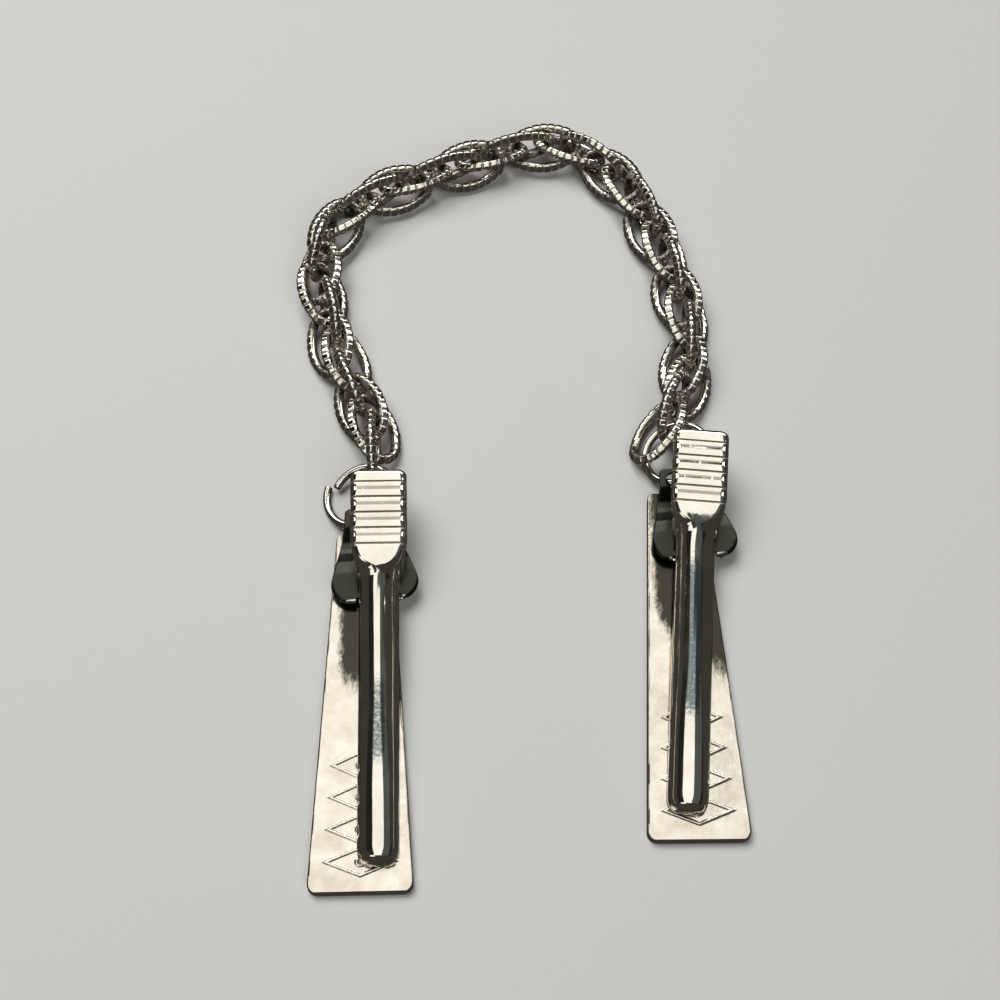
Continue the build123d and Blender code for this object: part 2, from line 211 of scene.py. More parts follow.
def rangeOf(tree, place, source, fromRange, toRange=(0.0, 1.0), **values):
    # a value's run between two limits, stretched to run between two others
    made = shaderNode(tree, "ShaderNodeMapRange", place, **values)
    for key, value in zip(("From Min", "From Max", "To Min", "To Max"), (*fromRange, *toRange)):
        made.inputs[key].default_value = value
    tree.links.new(source, made.inputs["Value"])
    return made.outputs["Result"]


def mixOf(tree, place, share, base, colour):
    # base colour blended to another one by a share
    made = shaderNode(tree, "ShaderNodeMix", place, data_type="RGBA")
    made.inputs["B"].default_value = (*colour, 1)
    tree.links.new(share, made.inputs["Factor"])
    tree.links.new(base, made.inputs["A"])
    return made.outputs["Result"]


def platedMetal(name, finish):
    # plated metal: clouded colour with grime and darkened places, patchy gloss with hairlines and
    # scuffs, and a ripple; the piece's attributes say where grime, dark and scuffs lie (the dark is a
    # painted reflection on the plates and worn scuffs on the levers)
    material, shader = newMaterial(name)
    tree = material.node_tree
    hollow, wearAndShade, scuff = (
        shaderNode(tree, "ShaderNodeAttribute", (-5, row), attribute_name=key).outputs["Fac"]
        for key, row in (("hollow", 1), ("wearAndShade", -1), ("scuff", 5)))
    cloud = noiseOf(tree, (-4, 0), finish["cloudScale"], 4.0)
    tint = rampOf(tree, (-3, 0), cloud, finish["cloudRange"], (finish["dark"], finish["bright"]))
    grime = noiseOf(tree, (-4, 1), finish["grimeScale"], 2.0)
    lodged = mathOf(tree, (-3, 1), "MULTIPLY", hollow, grime)
    gain = finish["tarnishGain"] * finish["tarnishAmount"]
    strength = mathOf(tree, (-2, 1), "MULTIPLY", lodged, gain, clamp=True)
    dirty = mixOf(tree, (-2, 0), strength, tint, finish["tarnish"])
    ragged = noiseOf(tree, (-4, -1), finish["wearAndShadeScale"], 6.0, finish["wearAndShadeStretch"], 0.72)
    edge = mathOf(tree, (-3, -1), "MULTIPLY_ADD", ragged, finish["wearAndShadeBreak"], wearAndShade)
    limits = [limit + finish["wearAndShadeBreak"] / 2 for limit in finish["wearAndShadeRange"]]
    darkness = rangeOf(tree, (-2, -1), edge, limits, interpolation_type="SMOOTHSTEP")
    # darkened places: a painted reflection on the plates, worn scuffs on the levers, and the leaves' darker
    # colour
    colour = mixOf(tree, (-1, 0), darkness, dirty, finish["wearAndShadeColour"])
    tree.links.new(colour, shader.inputs["Base Color"])
    bare = rangeOf(tree, (-1, 1), strength, (0.0, 1.0), (1.0, finish["grimyMetallic"]))
    tree.links.new(bare, shader.inputs["Metallic"])

    scratches = noiseOf(tree, (-4, 2), finish["scratchScale"], 2.0, finish["scratchStretch"])
    patches = noiseOf(tree, (-4, 3), finish["patchScale"], 3.0)
    gloss = rangeOf(tree, (-2, 3), patches, finish["patchRange"], finish["roughness"])
    hairline = rangeOf(tree, (-2, 2), scratches, finish["scratchRange"],
                       (0.0, finish["scratchRoughness"]))
    total = mathOf(tree, (-1, 2), "ADD", gloss, hairline, clamp=True)
    scuffed = mathOf(tree, (-1, 3), "MULTIPLY", scuff, ragged)
    rough = mathOf(tree, (0, 2), "MULTIPLY_ADD", scuffed, finish["scuffRoughness"], total, clamp=True)
    tree.links.new(rough, shader.inputs["Roughness"])

    ripple = noiseOf(tree, (-4, 4), finish["rippleScale"], 2.0)
    first = shaderNode(tree, "ShaderNodeBump", (-2, 4))
    first.inputs["Distance"].default_value = finish["rippleDepth"] * mm
    second = shaderNode(tree, "ShaderNodeBump", (-1, 4))
    second.inputs["Distance"].default_value = finish["scratchDepth"] * mm
    tree.links.new(ripple, first.inputs["Height"])
    tree.links.new(scratches, second.inputs["Height"])
    tree.links.new(first.outputs["Normal"], second.inputs["Normal"])
    tree.links.new(second.outputs["Normal"], shader.inputs["Normal"])
    return material


# Scales are per millimetre, depths in millimetres, ranges are of the noise that they read.
commonFinish = {
    "cloudRange": (0.3, 0.7), "patchRange": (0.35, 0.7), "scratchRange": (0.6, 0.75),
    "tarnishGain": 1.8, "grimyMetallic": 0.35, "grimeScale": 1.5,
    # colour of the darkened places; on the plates it is the painted reflection of the leaf and lever
    "wearAndShadeColour": (0.060, 0.056, 0.044), "wearAndShadeScale": 2.6, "wearAndShadeStretch": (1.0, 2.6, 1.0),
    "wearAndShadeBreak": 1.2, "wearAndShadeRange": (0.25, 0.80), "scuffRoughness": 0.45,
    "tarnishAmount": 0.5, "scratchScale": 5.0, "scratchStretch": (1, 1, 1),
}
plateFinish = {
    **commonFinish,
    "bright": (0.94, 0.89, 0.80), "dark": (0.72, 0.655, 0.555), "tarnish": (0.30, 0.25, 0.19),
    "cloudScale": 0.55, "patchScale": 0.35, "roughness": (0.13, 0.22),
    "scratchScale": 3.0, "scratchStretch": (0.5, 12, 1), "scratchRoughness": 0.12,
    "rippleScale": 0.9, "rippleDepth": 0.02, "scratchDepth": 0.003,
}
leafFinish = {
    **commonFinish,
    "bright": (0.80, 0.77, 0.70), "dark": (0.62, 0.59, 0.53), "tarnish": (0.10, 0.09, 0.07),
    "wearAndShadeColour": (0.046, 0.046, 0.038), "wearAndShadeBreak": 0.5, "scuffRoughness": 0.40,
    "cloudScale": 0.2, "patchScale": 0.5, "roughness": (0.10, 0.16),
    "scratchScale": 4.0, "scratchStretch": (8, 0.6, 1), "scratchRoughness": 0.08,
    "rippleScale": 0.6, "rippleDepth": 0.006, "scratchDepth": 0.001,
}
leverFinish = {
    **commonFinish,
    "bright": (0.93, 0.90, 0.83), "dark": (0.82, 0.77, 0.68), "tarnish": (0.30, 0.15, 0.10),
    "wearAndShadeColour": (0.19, 0.225, 0.235), "wearAndShadeScale": 4.0, "wearAndShadeStretch": (1.6, 1.0, 1.0),
    "wearAndShadeBreak": 1.3, "scuffRoughness": 0.22,
    "tarnishAmount": 0.75, "cloudScale": 0.4, "patchScale": 0.3, "roughness": (0.03, 0.09),
    "scratchScale": 2.6, "scratchStretch": (0.6, 14, 1), "scratchRoughness": 0.14,
    "rippleScale": 0.45, "rippleDepth": 0.015, "scratchDepth": 0.0015,
}
wireFinish = {
    **commonFinish,
    "bright": (0.90, 0.87, 0.80), "dark": (0.78, 0.75, 0.69), "tarnish": (0.20, 0.18, 0.14),
    "tarnishAmount": 0.7, "cloudScale": 0.3, "patchScale": 0.8, "roughness": (0.05, 0.12),
    "scratchRoughness": 0.12, "rippleScale": 1.5, "rippleDepth": 0.01, "scratchDepth": 0.002,
}
chainFinish = {
    **commonFinish,
    "bright": (0.88, 0.85, 0.76), "dark": (0.60, 0.57, 0.50), "tarnish": (0.06, 0.055, 0.04),
    "tarnishAmount": 1.1, "cloudScale": 0.35, "patchScale": 0.9, "roughness": (0.05, 0.12),
    "scratchRoughness": 0.06, "rippleScale": 1.2, "rippleDepth": 0.008, "scratchDepth": 0.001,
}
plateMetal = platedMetal("platePlating", plateFinish)
leafMetal = platedMetal("leafPlating", leafFinish)
leverMetal = platedMetal("leverPlating", leverFinish)
wireMetal = platedMetal("ringPlating", wireFinish)
chainMetal = platedMetal("chainPlating", chainFinish)
print("finishes made")


# Back plates

plate = {
    "length": 37.4, "jawWidth": 10.0, "ringWidth": 5.6, "thickness": 1.0,
    "jawCorner": 1.05, "ringCorner": 0.6, "edgeRound": 0.18, "edgeSteps": 6,
    "reliefRows": 4, "reliefFirst": 2.9, "reliefPitch": 3.15, "reliefHeight": 0.12,
    "reliefLine": 0.24, "reliefSideMargin": 1.25, "reliefEndMargin": 0.12, "reliefRingRadius": 0.5,
    "reliefStep": 0.05, "columns": 130, "fineRows": 230, "coarseRows": 50, "fineEnd": 14.6,
    "edgeCrowding": 0.35, "waviness": 0.012,
    # the patch painted dark by the leaf, a painted reflection of the leaf and lever: where it starts along,
    # how that shifts across, its edge across, and over how far it sets in along and to each side of that
    # edge
    "wearAndShade": {"left": (19.8, -0.5, -2.3), "right": (19.8, -0.9, -2.7)},
    "paintedShadeRun": (-3.0, 3.5), "paintedShadeEdge": 1.0,
}


def plateHalfWidth(along):
    # half the plate's width: a straight taper whose four corners are rounded off by quarter circles
    narrowing = (plate["ringWidth"] - plate["jawWidth"]) / 2
    half = plate["jawWidth"] / 2 + narrowing * along / plate["length"]
    half = half - roundOff(along, plate["jawCorner"])
    return half - roundOff(plate["length"] - along, plate["ringCorner"])


def reliefHeight(across, along):
    # raised outlines: distance from each lozenge's line and each bead's circle, turned to a soft ridge
    height = np.zeros_like(across)
    for k in range(plate["reliefRows"]):
        middle = plate["reliefFirst"] + k * plate["reliefPitch"]
        taper = (plate["jawWidth"] - plate["ringWidth"]) * middle / plate["length"] / 2
        halfWide = plate["jawWidth"] / 2 - taper - plate["reliefSideMargin"]
        halfLong = plate["reliefPitch"] / 2 - plate["reliefEndMargin"]
        steep = math.hypot(1 / halfWide, 1 / halfLong)
        inside = (1 - np.abs(across) / halfWide - np.abs(along - middle) / halfLong) / steep
        line = np.abs(inside - plate["reliefLine"] / 2)
        reach = np.hypot(across, along - middle)
        bead = np.abs(reach - plate["reliefRingRadius"] + plate["reliefLine"] / 2)
        near = np.minimum(line, bead) - plate["reliefLine"] / 2
        height = np.maximum(height, 1 - smoothStep(-plate["reliefStep"], plate["reliefStep"], near))
    return height * plate["reliefHeight"]


def plateSurface(side):
    # rows along the plate, columns across; the top falls off to the edge by a quarter circle,
    # and the same grid laid flat at the bottom closes it
    edge = np.linspace(0, 1, plate["edgeSteps"], endpoint=False) ** 2
    fine = np.linspace(0, plate["fineEnd"], plate["fineRows"])
    coarse = np.linspace(plate["fineEnd"], plate["length"], plate["coarseRows"])[1:]
    rows = np.unique(np.concatenate([edge, plate["length"] - edge, fine, coarse]).round(5))
    steps = np.linspace(-1, 1, plate["columns"])
    crowding = plate["edgeCrowding"]
    columns = np.sin(steps * math.pi / 2) * crowding + steps * (1 - crowding)
    half = plateHalfWidth(rows)
    across = half[:, None] * columns[None, :]
    along = rows[:, None] + 0 * across
    distance = np.minimum(half[:, None] - np.abs(across),
                          np.minimum(along, plate["length"] - along))
    drop = roundOff(distance, plate["edgeRound"])
    level = distance >= plate["edgeRound"]
    wave = np.sin(across * 1.1 + along * 0.43) * np.sin(along * 0.9 - across * 0.5)
    top = plate["thickness"] - drop + (wave - 1) * plate["waviness"] * level
    relief = reliefHeight(across, along)
    top += relief
    points = np.stack([across, along, top], axis=-1)
    under = np.stack([across, along, 0 * top], axis=-1)
    rowCount, columnCount = across.shape
    count = rowCount * columnCount
    quads = [gridQuads(rowCount, columnCount), gridQuads(rowCount, columnCount, count)[:, ::-1]]
    ring = np.concatenate([
        np.arange(columnCount), np.arange(1, rowCount) * columnCount + columnCount - 1,
        count - 2 - np.arange(columnCount - 1), (rowCount - 2 - np.arange(rowCount - 2)) * columnCount])
    follow = np.roll(ring, -1)
    quads.append(np.stack([ring, ring + count, follow + count, follow], axis=-1))
    share = relief / plate["reliefHeight"]
    foot = np.clip(share * (1 - share) * 4, 0, 1)            # grime lies where the relief starts
    hollow = np.concatenate([foot.ravel(), 0 * foot.ravel()])
    # painted reflection: the plate is painted dark by the leaf, where the dark leaf and lever are reflected
    # in it
    start, slant, inner = plate["wearAndShade"][side]
    wearAndShade = smoothStep(*plate["paintedShadeRun"], along - start - slant * across)
    wearAndShade = wearAndShade * smoothStep(inner - plate["paintedShadeEdge"], inner + plate["paintedShadeEdge"], across)
    wearAndShade = np.concatenate([wearAndShade.ravel(), 0 * wearAndShade.ravel()])
    whole = np.concatenate([points.reshape(-1, 3), under.reshape(-1, 3)])
    return whole, np.concatenate(quads), {"hollow": hollow, "wearAndShade": wearAndShade}


for side in clipSettings:
    points, quads, values = plateSurface(side)
    piece = buildMesh(side + "PlateStamping", toClip(points, side), quads, values)
    finishPiece(piece, "base", side + "_back_plate", plateMetal)
print("back plates made")


# Levers: thumb pad, neck and half-tube arm in one stamping

lever = {
    "wall": 0.45, "armHalf": 2.0, "footRound": 0.1, "archCounts": (9, 22, 15),
    "tipStart": -27.4, "tipEnd": -29.3, "tipPower": 2.5, "tipLeft": 0.30,
    "bluntFrom": 0.65, "bluntPower": 2.4,
    "padEdge": 9.5, "padEnd": 10.25, "endNarrow": 0.55, "endDrop": 0.62,
    "lugRadius": 1.45, "lugHalfWidth": 1.05,
    "grooves": 5, "groovePitch": 1.62, "grooveFirst": 2.3, "grooveReach": 0.16,
    "grooveDepth": 0.11, "grooveWidth": 0.06, "scallop": 0.05,
    "padCorner": 0.80, "padCornerAtGroove": 0.66,
    "flatEnd": 0.05, "flatStart": 2.0, "flatPower": 2.7,
    "roundTip": 2.0, "roundNeck": 1.6,
    "armEnd": -1.3, "padStart": 1.15, "rowGap": 0.012,
    "rows": {"tip": 26, "arm": 70, "lug": 22, "pad": 150, "end": 16, "groove": 9},
    # slope of a rib in degrees, from its jaw side to its ring side
    "ribPlace": (-0.5, -0.42, -0.18, -0.02, 0.22, 0.36, 0.42, 0.5),
    "ribSlope": (9.0, 3.0, 2.0, -19.0, -18.0, 1.5, 1.5, -6.0),
    "hollowStart": -28.7, "hollowEnd": 9.75,
    # the section at places along the lever, and how far each of its values is smoothed
    "smooth": {"half": 0.3, "low": 0.4, "high": 0.45, "corner": 0.3},
    "along": (-29.3, -27.4, -14.0, -3.0, -1.9, -0.9, -0.2, 0.3, 0.75, 1.4, 2.0, 3.0, 9.6, 10.25),
    "half": (2.0, 2.0, 2.0, 2.0, 2.0, 2.0, 2.06, 2.2, 2.35, 2.55, 2.7, 2.84, 2.85, 2.85),
    "low": (1.14, 1.20, 1.80, 2.38, 2.46, 2.58, 2.70, 2.85, 3.15, 3.55, 3.95, 4.50, 5.65, 5.74),
    "high": (3.10, 3.20, 3.84, 4.41, 4.49, 4.70, 4.98, 5.22, 5.35, 5.46, 5.56, 5.73, 6.85, 6.96),
    "corner": (1.85, 1.90, 1.95, 1.95, 1.95, 1.95, 1.90, 1.35, 0.80, 0.68, 0.66, 0.65, 0.65, 0.65),
}


def smoothTable(places, keys, values, reach):
    # table values at places, each averaged with its neighbours within reach for smooth runs
    offsets = np.linspace(-reach, reach, 9)
    weights = np.cos(offsets / reach * math.pi / 2) ** 2 + 0.05
    spread = np.interp(places[:, None] + offsets[None, :], keys, values)
    return (spread * weights).sum(axis=1) / weights.sum()


def easedRows(start, end, count):
    # places from start to end, closer together towards the end
    return blend(start, end, np.sin(np.linspace(0, 1, count) * math.pi / 2))


def leverRows():
    # rows along the lever: even along the arm, close at the tip, the lugs, the pad and its grooves
    counts, reach = lever["rows"], lever["grooveReach"]
    tip = easedRows(lever["tipStart"], lever["tipEnd"], counts["tip"])
    arm = np.linspace(lever["tipStart"], lever["armEnd"], counts["arm"])[1:]
    lug = -lever["lugHalfWidth"] * np.cos(np.linspace(0, math.pi, counts["lug"]))
    pad = np.linspace(lever["padStart"], lever["padEdge"], counts["pad"])
    end = easedRows(lever["padEdge"], lever["padEnd"], counts["end"])
    around = np.linspace(-reach, reach, counts["groove"])
    lines = [lever["grooveFirst"] + k * lever["groovePitch"] + around for k in range(lever["grooves"])]
    rows = np.unique(np.concatenate([tip, arm, lug, pad, end, *lines]).round(4))
    return rows[np.insert(np.diff(rows) > lever["rowGap"], 0, True)]


def leverSection(along):
    # half width, lowest, highest, corner radius, groove line and roundness at each row
    half, low, high, corner = (
        smoothTable(along, lever["along"], lever[key], lever["smooth"][key])
        for key in ("half", "low", "high", "corner"))
    lastGroove = lever["grooves"] - 1
    place = (along - lever["grooveFirst"]) / lever["groovePitch"]
    nearest = np.clip(np.round(place), 0, lastGroove)
    away = np.abs(place - nearest) * lever["groovePitch"]
    line = np.exp(-(away / lever["grooveWidth"]) ** 2)
    # the ribs' slopes added up along the pad give their height
    inRib = (place > 0) & (place < lastGroove)
    slope = np.interp((place % 1.0) - 0.5, lever["ribPlace"], lever["ribSlope"]) * inRib
    rise = np.cumsum(np.tan(np.radians(slope)) * np.gradient(along))
    ribbed = (lever["grooveFirst"], lever["grooveFirst"] + lastGroove * lever["groovePitch"])
    rise -= np.interp(along, ribbed, (rise[place <= 0][-1], rise[place < lastGroove][-1]))
    onPad = (along > 0.5) & (along < lever["padEdge"])
    toothed = np.exp(-np.clip(away - 0.1, 0, None) / 0.2)
    padCorner = blend(lever["padCorner"], lever["padCornerAtGroove"], toothed)
    flat = np.clip((lever["flatStart"] - along) / (lever["flatStart"] - lever["flatEnd"]), 0, 1)
    rounded = half - (half - padCorner) * np.sqrt(1 - flat ** lever["flatPower"]) - 0.02
    corner = np.where(along > lever["flatEnd"], rounded, corner)
    high = high + rise * inRib - onPad * lever["grooveDepth"] * line
    half = half - onPad * lever["scallop"] * line
    tip = np.clip((lever["tipStart"] - along) / (lever["tipStart"] - lever["tipEnd"]), 0, 1)
    shrink = (1 - tip ** lever["tipPower"]) ** (1 / lever["tipPower"])
    half = half * blend(lever["tipLeft"], 1, shrink)
    bluntness = np.clip((tip - lever["bluntFrom"]) / (1 - lever["bluntFrom"]), 0, 1)
    blunt = np.sqrt(1 - bluntness ** lever["bluntPower"])
    high = blend(low, high, blend(lever["tipLeft"], 1, blunt))
    end = np.clip((along - lever["padEdge"]) / (lever["padEnd"] - lever["padEdge"]), 0, 1)
    rounding = 1 - np.sqrt(1 - end ** 2)
    half = half - lever["endNarrow"] * rounding
    high = high - lever["endDrop"] * rounding
    corner = np.minimum(corner, np.minimum(half * 0.98, (high - low) * 0.9))
    inside = np.maximum(lever["lugRadius"] ** 2 - along ** 2, 0)
    lug = pivotHeight - np.sqrt(inside)
    low = np.where(np.abs(along) <= lever["lugHalfWidth"], np.minimum(low, lug), low)
    power = blend(lever["roundTip"], lever["roundNeck"], smoothStep(-24, -12, along))
    power = blend(power, 2.0, smoothStep(-0.5, 1.0, along))
    return half, low, high, corner, line * onPad, power


def archLine(half, low, high, corner, power, counts):
    # upright side, rounded corner, flat top, corner, upright side, from left to right; the corner is
    # a quarter of a superellipse, a circle where its power is 2 and more peaked below that
    sideCount, cornerCount, topCount = counts
    rise = np.linspace(0, 1, sideCount, endpoint=False)[None, :]
    turn = np.linspace(0, math.pi / 2, cornerCount, endpoint=False)[None, :]
    flat = np.linspace(-1, 1, topCount)[None, :]
    a, l, h, c, p = (value[:, None] for value in (half, low, high, corner, power))
    sideX, sideZ = -a + 0 * rise, l + (h - c - l) * rise
    cornerX, cornerZ = -a + c - c * np.cos(turn) ** (2 / p), h - c + c * np.sin(turn) ** (2 / p)
    topX, topZ = (a - c) * flat, h + 0 * flat
    x = np.concatenate([sideX, cornerX, topX, -cornerX[:, ::-1], -sideX[:, ::-1]], axis=1)
    z = np.concatenate([sideZ, cornerZ, topZ, cornerZ[:, ::-1], sideZ[:, ::-1]], axis=1)
    return x, z


def leverSurface(clip):
    # closed loops across the lever: outer arch, round foot, inner arch back, round foot
    rows = leverRows()
    half, low, high, corner, line, power = leverSection(rows)
    solid = (rows < lever["hollowStart"]) | (rows > lever["hollowEnd"])
    foot = np.minimum(lever["footRound"], half * 0.2)
    counts = lever["archCounts"]
    outerX, outerZ = archLine(half, low + foot, high, corner, power, counts)
    innerHalf = np.maximum(half - lever["wall"], 0.12)
    innerHigh = np.where(solid, low + 0.02, high - lever["wall"])
    innerCorner = np.where(solid, 0.001, np.maximum(corner - lever["wall"], 0.12))
    innerLow = np.where(solid, low, low + foot)
    innerX, innerZ = archLine(innerHalf, innerLow, innerHigh, innerCorner, power, counts)
    inset = np.array([0.15, 0.5, 0.85])[None, :]
    drop = np.array([0.75, 1.0, 0.75])[None, :] * foot[:, None]
    footX = half[:, None] - (half - innerHalf)[:, None] * inset
    footZ = (low + foot)[:, None] - drop
    x = np.concatenate([outerX, footX, innerX[:, ::-1], -footX[:, ::-1]], axis=1)
    z = np.concatenate([outerZ, footZ, innerZ[:, ::-1], footZ[:, ::-1]], axis=1)
    y = rows[:, None] + 0 * x
    # the arm leans a little sideways: none at its feet, all of it at its ridge
    skew = np.interp(rows, (-26, -14, -1, 2), (*clip["leverSkew"], 0))[:, None]
    z = z - x * skew * np.clip((z - low[:, None]) / (high - low)[:, None], 0, 1)
    points = np.stack([x, y, z], axis=-1)
    ends = []
    for row, size in ((0, 0.0), (0, 0.55), (-1, 0.55), (-1, 0.0)):
        middle = points[row].mean(axis=0)
        middle[2] = (points[row][:, 2].min() + points[row][:, 2].max()) / 2
        ends.append(middle + (points[row] - middle) * size)
    points = np.concatenate([ends[0][None], ends[1][None], points, ends[2][None], ends[3][None]])
    grime = np.concatenate([[0, 0], line, [0, 0]])
    rowCount, columnCount = points.shape[:2]
    topSide = np.arange(columnCount) < outerX.shape[1]
    hollow = np.where(topSide[None, :], grime[:, None], 0.35)
    quads = gridQuads(rowCount, columnCount, wrapColumns=True)
    # scuffed along a stretch of the arm's ridge
    first, last = clip["scuff"]
    across, along = points[..., 0], points[..., 1]
    scuff = smoothStep(first - 2, first + 2, along) * (1 - smoothStep(last - 3, last + 1, along))
    scuff = scuff * topSide[None, :] * (1 - smoothStep(0.55, 0.95, np.abs(across)))
    values = {"hollow": hollow, "scuff": scuff, "wearAndShade": scuff * clip["scuffDull"]}
    return points.reshape(-1, 3), quads, values


for side, clip in clipSettings.items():
    points, quads, values = leverSurface(clip)
    points = fromPivot(turned(points, clip["leverTurn"]), side)
    piece = buildMesh(side + "LeverStamping", points, quads, values)
    finishPiece(piece, side + "_lever_body", side + "_lever", leverMetal, 50)
print("levers made")


# Leaves: the spring strip bracket with its tab, solder foot, arch and rolled lobes

leaf = {
    "thickness": 0.4, "tabEnd": 8.15, "tabHalf": 2.4, "neckHalf": 2.65, "tabBend": 6.05,
    "lobeRadius": 2.15, "lobeOffset": 2.25, "lobeBack": 0.28, "tabCorner": 0.45,
    "eyeAlong": 6.7, "eyeHalfLong": 1.95, "eyeHalfWide": 0.95,
    "slotInner": 1.4, "slotOuter": 2.15, "slotFrom": -1.4, "slotTo": 1.2,
    "notchInner": 1.85, "notchOuter": 2.35, "notchEnd": -1.9,
    "rollRadius": 0.36, "sideRoll": 0.18, "bevel": 0.05,
    # top of the strip along its length
    "along": (-2.6, 1.0, 2.3, 3.5, 4.1, 4.75, 5.3, 6.05, 8.15),
    "height": (2.22, 2.16, 1.99, 1.52, 1.42, 1.43, 1.90, 2.45, 2.40),
    "columns": (12, 6, 20, 6, 12), "rows": 150, "slotWiden": -1.45, "slotRow": -1.55,
    # grime along the solder foot, the lobes' inner front corners kept bright as a painted highlight, and
    # how dark the rest is
    "solderAlong": 4.3, "solderReach": 0.5, "underGrime": 0.4,
    "highlightAlong": (-2.15, -1.9), "highlightAcross": (2.9, 3.2), "darkness": 1.3,
}
ear = {"thickness": 0.5, "offset": 0.95, "radius": 0.75, "rimRound": 0.07, "foot": (0.2, 1.2), "grime": 0.3}


def leafHalfWidth(along):
    # half the leaf's width: lobe circles in front, then a straight side that touches them, to the tab
    bend = leaf["tabBend"] + leaf["lobeBack"]
    side = leaf["neckHalf"] - leaf["lobeOffset"]
    touch = math.atan2(bend, side) - math.acos(leaf["lobeRadius"] / math.hypot(side, bend))
    touchAlong = leaf["lobeRadius"] * math.sin(touch) - leaf["lobeBack"]
    touchHalf = leaf["lobeOffset"] + leaf["lobeRadius"] * math.cos(touch)
    inside = leaf["lobeRadius"] ** 2 - (along + leaf["lobeBack"]) ** 2
    lobe = leaf["lobeOffset"] + np.sqrt(np.maximum(inside, 0))
    straight = np.interp(along, (touchAlong, leaf["tabBend"], leaf["tabEnd"]),
                         (touchHalf, leaf["neckHalf"], leaf["tabHalf"]))
    half = np.where(along < touchAlong, lobe, straight)
    return half - roundOff(leaf["tabEnd"] - along, leaf["tabCorner"])


def leafSurface(clip):
    # rows along the leaf and columns that follow the lug slots, the side notches and the ring's eye
    angle = math.radians(clip["leverTurn"] - clip["leafTurn"])
    front = -leaf["lobeRadius"] - leaf["lobeBack"]
    fixed = [leaf["slotFrom"], leaf["slotTo"], leaf["notchEnd"], leaf["slotRow"],
             leaf["eyeAlong"] - leaf["eyeHalfWide"], leaf["eyeAlong"] + leaf["eyeHalfWide"]]
    eyeRows = leaf["eyeAlong"] - leaf["eyeHalfWide"] * np.cos(np.linspace(0, math.pi, 19))
    edge = front + 0.5 * np.linspace(0, 1, 16) ** 2
    rows = np.unique(np.concatenate([edge, np.linspace(front + 0.5, leaf["tabEnd"], leaf["rows"]),
                                     leaf["tabEnd"] - 0.45 * np.linspace(0, 1, 10) ** 2,
                                     eyeRows, fixed]).round(4))
    keep = np.insert(np.diff(rows) > 0.02, 0, True) | np.isin(rows, np.round(fixed, 4))
    rows = rows[keep]
    half = leafHalfWidth(rows)
    middle = -clip["leafAcross"] * math.cos(angle) - math.tan(angle) * rows
    atSlot = smoothStep(leaf["notchEnd"], leaf["slotWiden"], rows)
    inner = blend(leaf["notchInner"], leaf["slotInner"], atSlot)
    outer = blend(leaf["notchOuter"], leaf["slotOuter"], atSlot)
    inEye = np.clip((rows - leaf["eyeAlong"]) / leaf["eyeHalfWide"], -1, 1)
    eyeHalf = leaf["eyeHalfLong"] - leaf["eyeHalfWide"] * (1 - np.sqrt(1 - inEye ** 2))
    toEye = smoothStep(2.6, 5.0, rows)
    knots = []
    for sign, width in ((-1, outer), (-1, inner), (1, inner), (1, outer)):
        eyeLine = eyeHalf if width is inner else (eyeHalf + half) / 2
        line = (middle + sign * width) * (1 - toEye) + sign * eyeLine * toEye
        limit = half * (0.93 if width is outer else 0.82)
        knots.append(np.clip(line, -limit, limit))
    knots = [-half, *knots, half]
    parts = []
    for count, left, right in zip(leaf["columns"], knots[:-1], knots[1:]):
        share = np.linspace(0, 1, count, endpoint=False)
        if left is knots[0]:
            share = share ** 1.6
        if right is half:
            share = 1 - (1 - share) ** 1.6
        parts.append(left[:, None] + (right - left)[:, None] * share[None, :])
    across = np.concatenate([*parts, half[:, None]], axis=1)
    along = rows[:, None] + 0 * across
    lobe = leaf["lobeRadius"] - np.hypot(np.maximum(np.abs(across) - leaf["lobeOffset"], 0),
                                         np.minimum(along + leaf["lobeBack"], 0))
    flank = half[:, None] - np.abs(across)
    distance = np.where(along < -leaf["lobeBack"], lobe, flank)
    reach = blend(leaf["sideRoll"], leaf["rollRadius"], 1 - smoothStep(-1.2, 1.0, along))
    drop = roundOff(distance, reach)
    height = smoothTable(rows, leaf["along"], leaf["height"], 0.22)[:, None] - drop
    points = np.stack([across, along, height], axis=-1)
    rowMiddle = (rows[1:] + rows[:-1]) / 2
    cellBand = np.repeat(np.arange(5), leaf["columns"])
    keep = np.ones((len(rows) - 1, len(cellBand)), bool)
    inSlot = (rowMiddle > leaf["slotFrom"]) & (rowMiddle < leaf["slotTo"])
    inNotch = rowMiddle < leaf["notchEnd"]
    throughEye = np.abs(rowMiddle - leaf["eyeAlong"]) < leaf["eyeHalfWide"]
    keep &= ~((inSlot | inNotch)[:, None] & np.isin(cellBand, (1, 3))[None, :])
    keep &= ~(throughEye[:, None] & (cellBand == 2)[None, :])
    return points, keep


def thicken(points, keep, thickness):
    # closes a grid into a sheet: the same grid set back along its normals, and walls at every edge
    alongRows = np.gradient(points, axis=0)
    alongColumns = np.gradient(points, axis=1)
    normals = np.cross(alongColumns, alongRows)
    normals /= np.linalg.norm(normals, axis=-1, keepdims=True) + 1e-12
    rowCount, columnCount = points.shape[:2]
    count = rowCount * columnCount
    quads = gridQuads(rowCount, columnCount)[keep.ravel()]
    edges = np.concatenate([quads[:, [k, (k + 1) % 4]] for k in range(4)])
    key = np.sort(edges, axis=1) @ np.array([count, 1])
    _, first, times = np.unique(key, return_index=True, return_counts=True)
    rim = edges[first[times == 1]]
    walls = np.stack([rim[:, 1], rim[:, 0], rim[:, 0] + count, rim[:, 1] + count], axis=-1)
    both = np.concatenate([points.reshape(-1, 3), (points - normals * thickness).reshape(-1, 3)])
    return both, np.concatenate([quads, quads[:, ::-1] + count, walls])


def dropLoose(points, quads, values):
    # keeps only the points that a face uses
    used = np.unique(quads)
    place = np.zeros(len(points), np.int64)
    place[used] = np.arange(len(used))
    return points[used], place[quads], values[used]


